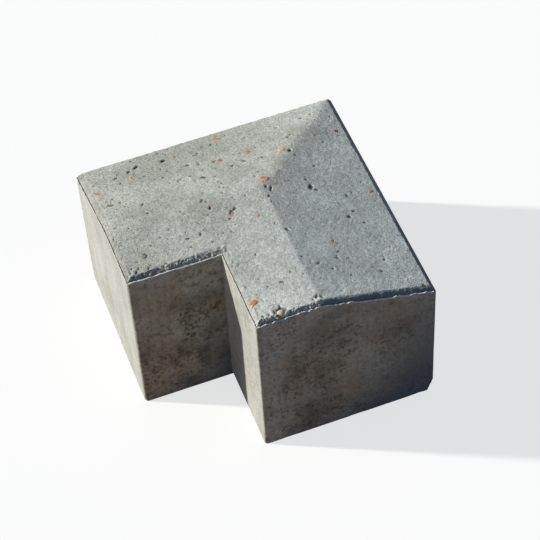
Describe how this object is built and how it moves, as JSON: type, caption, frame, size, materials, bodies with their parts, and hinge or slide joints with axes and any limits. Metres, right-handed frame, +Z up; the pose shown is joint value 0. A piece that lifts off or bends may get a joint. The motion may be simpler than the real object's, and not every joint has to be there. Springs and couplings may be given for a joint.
{
  "type": "concrete corner kerb stone",
  "caption": "L-shaped concrete kerb block for an outside corner, with a level inner strip, battered outer sides that meet in a hip, and a sloping arris all round the top.",
  "frame": {"origin": "on the bed face, at the centre of the square that the two arms span; that point is solid, because the arms are wider than half their length", "axes": "+Z up; the outer corner of the L points to +X +Y, one arm runs to -X and the other to -Y, and the paving side of the L is the notch at -X -Y"},
  "size_m": [0.19, 0.19, 0.1345],
  "materials": {
    "cast_concrete": "semi-dry cast concrete: open sandy texture with pores and exposed aggregate on top, smoother moulded sides"
  },
  "bodies": {
    "root": {"kerb_block": "cast_concrete"}
  },
  "joints": []
}
